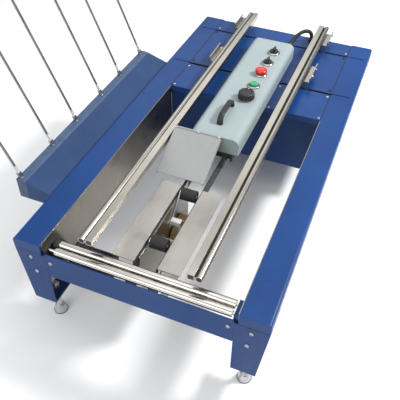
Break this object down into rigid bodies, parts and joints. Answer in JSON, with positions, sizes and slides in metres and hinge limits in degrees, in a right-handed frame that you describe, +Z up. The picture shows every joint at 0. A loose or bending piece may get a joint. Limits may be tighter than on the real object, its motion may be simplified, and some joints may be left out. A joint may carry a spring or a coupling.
{
  "type": "carton sealer machine",
  "caption": "Low frame on levelling feet that guides a carton between sliding rails over a bottom tape head, with a raised control console and a side rack.",
  "frame": {"origin": "on the floor, below the middle of the frame's length and width", "axes": "+Z up, +Y from the operator's end towards the far end, +X to the right seen from the operator's end"},
  "size_m": [1.038, 1.3885, 0.9354],
  "materials": {
    "beam_paint": "satin enamel",
    "leg_paint": "satin enamel",
    "housing_paint": "satin enamel",
    "tray_paint": "satin enamel",
    "stainless": "brushed",
    "polished": "polished",
    "zinc": "bright zinc",
    "console_paint": "textured powder coat",
    "plate_paint": "matt powder coat",
    "dark_steel": "black oxide",
    "black_plastic": "matt",
    "red_plastic": "gloss",
    "green_plastic": "gloss",
    "grey_plastic": "matt",
    "rubber": "matt",
    "aluminium": "machined",
    "tape": "glossy film"
  },
  "bodies": {
    "frame": {"side_beam_left": "beam_paint", "side_beam_right": "beam_paint", "leg_front_left": "leg_paint", "leg_front_right": "leg_paint", "leg_rear_left": "leg_paint", "leg_rear_right": "leg_paint", "front_crossmember": "leg_paint", "rear_crossmember": "leg_paint", "levelling_feet": "zinc", "side_panel_left": "stainless", "side_panel_right": "stainless", "deck_front_plate": "beam_paint", "deck_cover_plate": "beam_paint", "deck_rear_plate": "beam_paint", "drive_housing": "housing_paint", "power_inlet": "black_plastic", "sync_belt": "rubber", "pulley_studs": "zinc", "guide_shafts": "polished", "console_shell": "console_paint", "console_bracket": "dark_steel", "button_bezels": "polished", "contact_blocks": "grey_plastic", "console_handle": "black_plastic", "console_cable": "black_plastic", "cable_glands": "black_plastic", "plate_hinge": "zinc", "roller_blocks": "black_plastic", "roller_motor": "dark_steel", "roller_belt": "rubber", "centre_beams": "dark_steel", "bed_plates": "stainless", "tape_head_frame": "stainless", "magazine_tray": "tray_paint", "magazine_rods": "zinc", "screw_heads": "zinc"},
    "left_guide": {"guide_rail_left": "polished", "rail_brackets_left": "stainless", "carriage_left": "aluminium"},
    "right_guide": {"guide_rail_right": "polished", "rail_brackets_right": "stainless", "carriage_right": "aluminium"},
    "left_belt_pulley": {"sync_pulley_left": "aluminium"},
    "right_belt_pulley": {"sync_pulley_right": "aluminium"},
    "flap": {"flap_plate": "plate_paint"},
    "roller_one": {"front_roller": "polished"},
    "roller_two": {"second_roller": "polished"},
    "drive_pulley": {"motor_pulley": "aluminium"},
    "knob": {"ribbed_knob": "black_plastic"},
    "start": {"start_button": "green_plastic"},
    "stop": {"stop_button": "red_plastic"},
    "selector_front": {"selector_knob_front": "black_plastic"},
    "selector_rear": {"selector_knob_rear": "black_plastic"},
    "apply_lever": {"apply_arm": "zinc"},
    "apply_wheel": {"apply_roller": "rubber"},
    "wipe_lever": {"wipe_arm": "zinc"},
    "wipe_wheel": {"wipe_roller": "rubber"},
    "tape_spool": {"tape_roll": "tape", "tape_mandrel": "grey_plastic"},
    "cutter": {"cutter_arm": "zinc"}
  },
  "joints": [
    {"name": "left_guide_slide", "type": "slide", "parent": "frame", "child": "left_guide", "axis": [-1, 0, 0], "range_m": [0, 0.075]},
    {"name": "right_guide_slide", "type": "slide", "parent": "frame", "child": "right_guide", "axis": [1, 0, 0], "range_m": [0, 0.075]},
    {"name": "left_pulley_spin", "type": "hinge", "parent": "frame", "child": "left_belt_pulley", "pos_m": [-0.23, 0.445, 0.283], "axis": [0, 0, 1], "range_deg": [-205, 0]},
    {"name": "right_pulley_spin", "type": "hinge", "parent": "frame", "child": "right_belt_pulley", "pos_m": [0.23, 0.445, 0.283], "axis": [0, 0, 1], "range_deg": [-205, 0]},
    {"name": "flap_hinge", "type": "hinge", "parent": "frame", "child": "flap", "pos_m": [0, -0.152, 0.403], "axis": [-1, 0, 0], "range_deg": [0, 60]},
    {"name": "front_roller_spin", "type": "hinge", "parent": "frame", "child": "roller_one", "pos_m": [0, -0.667, 0.32], "axis": [1, 0, 0], "continuous": true},
    {"name": "second_roller_spin", "type": "hinge", "parent": "frame", "child": "roller_two", "pos_m": [0, -0.641, 0.32], "axis": [1, 0, 0], "continuous": true},
    {"name": "motor_pulley_spin", "type": "hinge", "parent": "frame", "child": "drive_pulley", "pos_m": [-0.2485, -0.595, 0.232], "axis": [1, 0, 0], "continuous": true},
    {"name": "knob_turn", "type": "hinge", "parent": "frame", "child": "knob", "pos_m": [0.025, 0.083, 0.4], "axis": [0, 0, 1], "range_deg": [-150, 150]},
    {"name": "start_press", "type": "slide", "parent": "frame", "child": "start", "axis": [0, 0, -1], "range_m": [0, 0.003], "stiffness_N_per_m": 1200, "springref_m": -0.002},
    {"name": "stop_press", "type": "slide", "parent": "frame", "child": "stop", "axis": [0, 0, -1], "range_m": [0, 0.004], "stiffness_N_per_m": 1500, "springref_m": -0.002},
    {"name": "front_selector_turn", "type": "hinge", "parent": "frame", "child": "selector_front", "pos_m": [0.025, 0.323, 0.4], "axis": [0, 0, 1], "range_deg": [-45, 45]},
    {"name": "rear_selector_turn", "type": "hinge", "parent": "frame", "child": "selector_rear", "pos_m": [0.025, 0.403, 0.4], "axis": [0, 0, 1], "range_deg": [-45, 45]},
    {"name": "apply_arm_swing", "type": "hinge", "parent": "frame", "child": "apply_lever", "pos_m": [0, -0.47, 0.261], "axis": [1, 0, 0], "range_deg": [0, 24], "stiffness_Nm_per_rad": 30, "springref_deg": -17.19},
    {"name": "wipe_arm_swing", "type": "hinge", "parent": "frame", "child": "wipe_lever", "pos_m": [0, -0.41, 0.261], "axis": [-1, 0, 0], "range_deg": [0, 24], "stiffness_Nm_per_rad": 30, "springref_deg": -17.19},
    {"name": "apply_roller_spin", "type": "hinge", "parent": "apply_lever", "child": "apply_wheel", "pos_m": [0, -0.54, 0.323], "axis": [1, 0, 0], "continuous": true},
    {"name": "wipe_roller_spin", "type": "hinge", "parent": "wipe_lever", "child": "wipe_wheel", "pos_m": [0, -0.34, 0.323], "axis": [1, 0, 0], "continuous": true},
    {"name": "tape_roll_spin", "type": "hinge", "parent": "frame", "child": "tape_spool", "pos_m": [0, -0.371, 0.193], "axis": [1, 0, 0], "continuous": true},
    {"name": "cutter_swing", "type": "hinge", "parent": "frame", "child": "cutter", "pos_m": [0, -0.44, 0.221], "axis": [-1, 0, 0], "range_deg": [0, 14], "stiffness_Nm_per_rad": 15, "springref_deg": -11.46}
  ],
  "couplings": [
    {"joint": "right_guide_slide", "follows": "left_guide_slide", "ratio": 1},
    {"joint": "left_pulley_spin", "follows": "left_guide_slide", "rad_per_m": -47.059},
    {"joint": "right_pulley_spin", "follows": "left_guide_slide", "rad_per_m": -47.059},
    {"joint": "motor_pulley_spin", "follows": "second_roller_spin", "ratio": 1},
    {"joint": "wipe_arm_swing", "follows": "apply_arm_swing", "ratio": 1}
  ]
}
